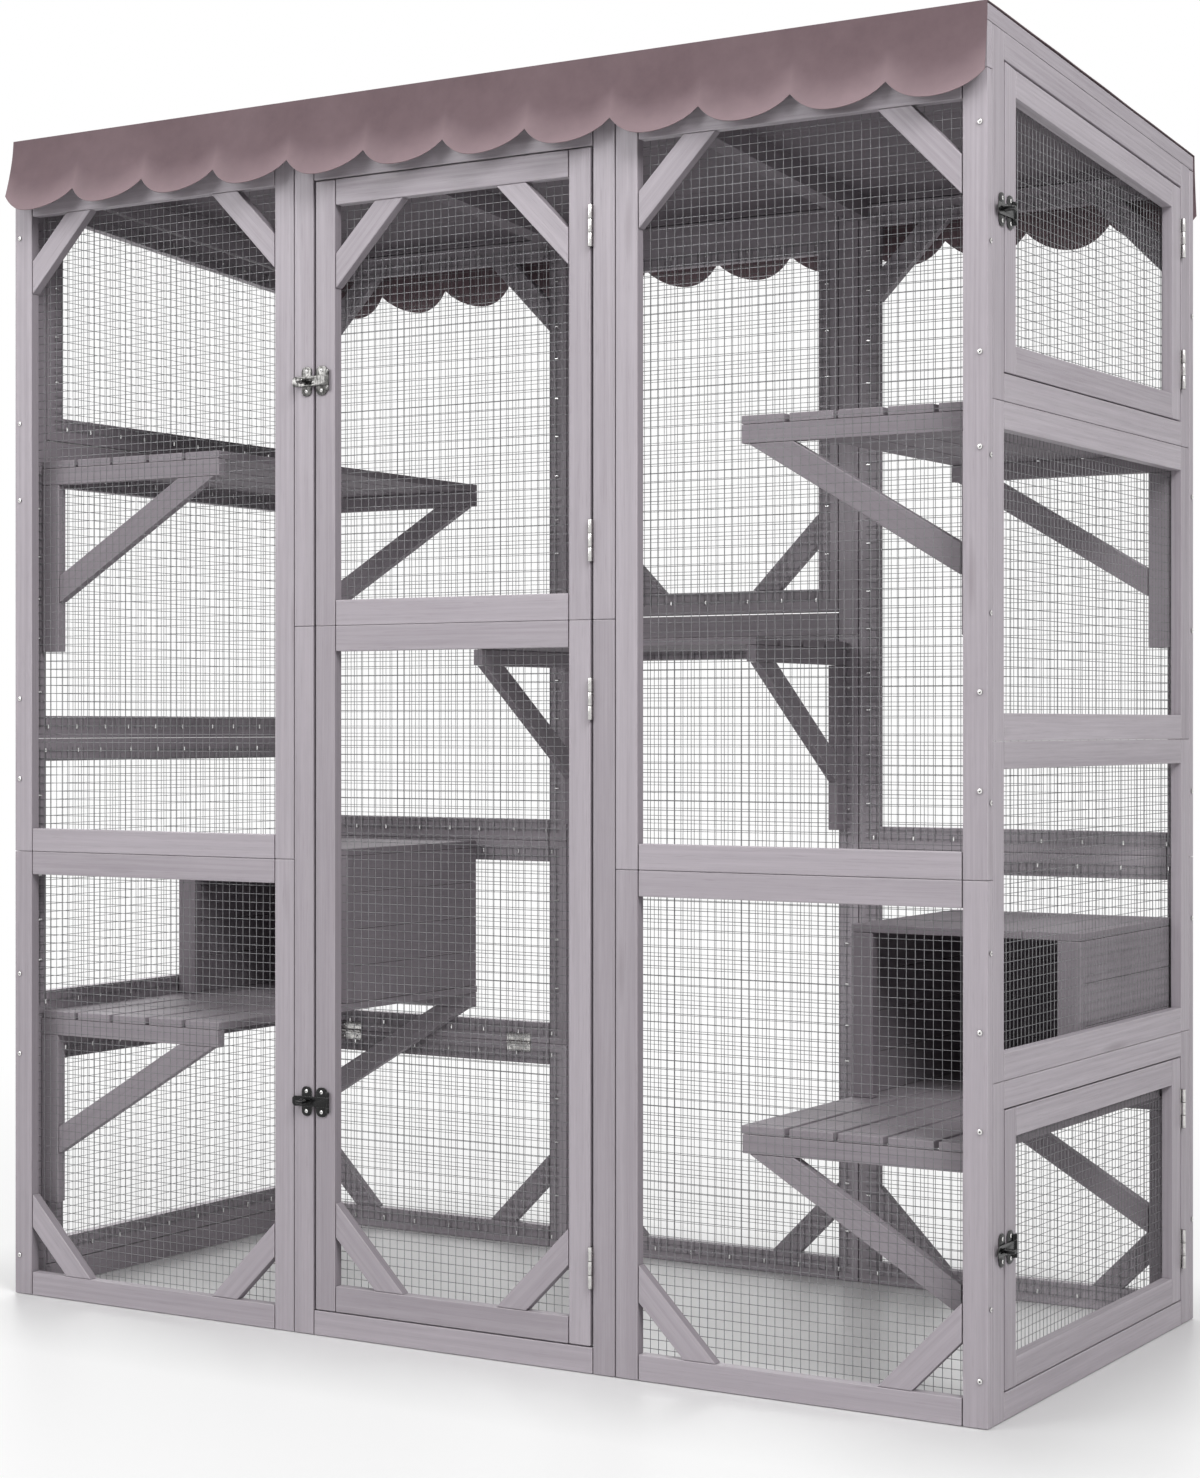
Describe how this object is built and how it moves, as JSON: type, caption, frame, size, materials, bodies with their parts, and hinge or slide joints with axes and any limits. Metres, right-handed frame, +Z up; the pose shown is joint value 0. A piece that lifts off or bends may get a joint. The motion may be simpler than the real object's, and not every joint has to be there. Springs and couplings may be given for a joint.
{
  "type": "walk-in cat enclosure",
  "caption": "Free-standing timber walk-in cat enclosure with mesh walls, hinged doors, shelves, cat houses and a mono-pitch roof under a scalloped fabric cover.",
  "frame": {"origin": "centre of the bounding box at the floor", "axes": "+X to the right as seen from the front, +Y from the front door to the back wall, +Z up"},
  "size_m": [1.684, 0.8212, 1.8016],
  "materials": {
    "timber": "satin mauve-grey stain",
    "mesh": "dull galvanised wire, mostly open",
    "fabric": "matte woven",
    "bright_steel": "bright zinc",
    "black_steel": "semi-gloss black"
  },
  "bodies": {
    "enclosure": {"front_left_upper_frame": "timber", "front_left_lower_frame": "timber", "front_right_upper_frame": "timber", "front_right_lower_frame": "timber", "front_door_frame": "timber", "right_wall_frame": "timber", "left_wall_frame": "timber", "back_left_frame": "timber", "back_middle_frame": "timber", "back_window_frame": "timber", "back_right_frame": "timber", "roof_frame": "timber", "roof_boards": "timber", "upper_left_shelf": "timber", "upper_right_shelf": "timber", "back_shelf": "timber", "left_platform": "timber", "right_platform": "timber", "left_house": "timber", "right_house": "timber", "front_wall_mesh": "mesh", "right_wall_mesh": "mesh", "left_wall_mesh": "mesh", "back_wall_mesh": "mesh", "door_hinge_leaves": "bright_steel", "door_hinge_pins": "bright_steel", "latch_plates": "bright_steel", "back_fold_hinges": "bright_steel", "roof_cover": "fabric"},
    "front_upper_leaf": {"front_upper_door": "timber", "front_upper_mesh": "mesh", "front_upper_fittings": "bright_steel"},
    "front_upper_hasp": {"front_upper_strap": "bright_steel"},
    "front_upper_twist": {"front_upper_knob": "bright_steel"},
    "front_lower_leaf": {"front_lower_door": "timber", "front_lower_mesh": "mesh", "front_lower_fittings": "black_steel"},
    "front_lower_hasp": {"front_lower_strap": "black_steel"},
    "front_lower_twist": {"front_lower_knob": "black_steel"},
    "right_upper_leaf": {"right_upper_door": "timber", "right_upper_mesh": "mesh", "right_upper_fittings": "black_steel"},
    "right_upper_hasp": {"right_upper_strap": "black_steel"},
    "right_upper_twist": {"right_upper_knob": "black_steel"},
    "right_lower_leaf": {"right_lower_door": "timber", "right_lower_mesh": "mesh", "right_lower_fittings": "black_steel"},
    "right_lower_hasp": {"right_lower_strap": "black_steel"},
    "right_lower_twist": {"right_lower_knob": "black_steel"},
    "left_upper_leaf": {"left_upper_door": "timber", "left_upper_mesh": "mesh", "left_upper_fittings": "black_steel"},
    "left_upper_hasp": {"left_upper_strap": "black_steel"},
    "left_upper_twist": {"left_upper_knob": "black_steel"},
    "left_lower_leaf": {"left_lower_door": "timber", "left_lower_mesh": "mesh", "left_lower_fittings": "black_steel"},
    "left_lower_hasp": {"left_lower_strap": "black_steel"},
    "left_lower_twist": {"left_lower_knob": "black_steel"}
  },
  "joints": [
    {"name": "front_upper_door_swing", "type": "hinge", "parent": "enclosure", "child": "front_upper_leaf", "pos_m": [0.2365, -0.3903, 1.357], "axis": [0, 0, 1], "range_deg": [0, 120]},
    {"name": "front_upper_strap_lift", "type": "hinge", "parent": "front_upper_leaf", "child": "front_upper_hasp", "pos_m": [-0.2101, -0.39, 1.39], "axis": [0, 0, 1], "range_deg": [0, 110]},
    {"name": "front_upper_knob_turn", "type": "hinge", "parent": "enclosure", "child": "front_upper_twist", "pos_m": [-0.251, -0.387, 1.39], "axis": [0, -1, 0], "range_deg": [0, 90]},
    {"name": "front_lower_door_swing", "type": "hinge", "parent": "enclosure", "child": "front_lower_leaf", "pos_m": [0.2365, -0.3903, 0.535], "axis": [0, 0, 1], "range_deg": [0, 120]},
    {"name": "front_lower_strap_lift", "type": "hinge", "parent": "front_lower_leaf", "child": "front_lower_hasp", "pos_m": [-0.2101, -0.39, 0.34], "axis": [0, 0, 1], "range_deg": [0, 110]},
    {"name": "front_lower_knob_turn", "type": "hinge", "parent": "enclosure", "child": "front_lower_twist", "pos_m": [-0.251, -0.387, 0.34], "axis": [0, -1, 0], "range_deg": [0, 90]},
    {"name": "right_upper_door_swing", "type": "hinge", "parent": "enclosure", "child": "right_upper_leaf", "pos_m": [0.8253, 0.3315, 1.54], "axis": [0, 0, 1], "range_deg": [0, 120]},
    {"name": "right_upper_strap_lift", "type": "hinge", "parent": "right_upper_leaf", "child": "right_upper_hasp", "pos_m": [0.825, -0.3051, 1.545], "axis": [0, 0, 1], "range_deg": [0, 110]},
    {"name": "right_upper_knob_turn", "type": "hinge", "parent": "enclosure", "child": "right_upper_twist", "pos_m": [0.822, -0.346, 1.545], "axis": [1, 0, 0], "range_deg": [0, 90]},
    {"name": "right_lower_door_swing", "type": "hinge", "parent": "enclosure", "child": "right_lower_leaf", "pos_m": [0.8253, 0.3315, 0.217], "axis": [0, 0, 1], "range_deg": [0, 120]},
    {"name": "right_lower_strap_lift", "type": "hinge", "parent": "right_lower_leaf", "child": "right_lower_hasp", "pos_m": [0.825, -0.3051, 0.22], "axis": [0, 0, 1], "range_deg": [0, 110]},
    {"name": "right_lower_knob_turn", "type": "hinge", "parent": "enclosure", "child": "right_lower_twist", "pos_m": [0.822, -0.346, 0.22], "axis": [1, 0, 0], "range_deg": [0, 90]},
    {"name": "left_upper_door_swing", "type": "hinge", "parent": "enclosure", "child": "left_upper_leaf", "pos_m": [-0.8253, 0.3315, 1.54], "axis": [0, 0, -1], "range_deg": [0, 120]},
    {"name": "left_upper_strap_lift", "type": "hinge", "parent": "left_upper_leaf", "child": "left_upper_hasp", "pos_m": [-0.825, -0.3051, 1.545], "axis": [0, 0, -1], "range_deg": [0, 110]},
    {"name": "left_upper_knob_turn", "type": "hinge", "parent": "enclosure", "child": "left_upper_twist", "pos_m": [-0.822, -0.346, 1.545], "axis": [-1, 0, 0], "range_deg": [0, 90]},
    {"name": "left_lower_door_swing", "type": "hinge", "parent": "enclosure", "child": "left_lower_leaf", "pos_m": [-0.8253, 0.3315, 0.217], "axis": [0, 0, -1], "range_deg": [0, 120]},
    {"name": "left_lower_strap_lift", "type": "hinge", "parent": "left_lower_leaf", "child": "left_lower_hasp", "pos_m": [-0.825, -0.3051, 0.22], "axis": [0, 0, -1], "range_deg": [0, 110]},
    {"name": "left_lower_knob_turn", "type": "hinge", "parent": "enclosure", "child": "left_lower_twist", "pos_m": [-0.822, -0.346, 0.22], "axis": [-1, 0, 0], "range_deg": [0, 90]}
  ]
}
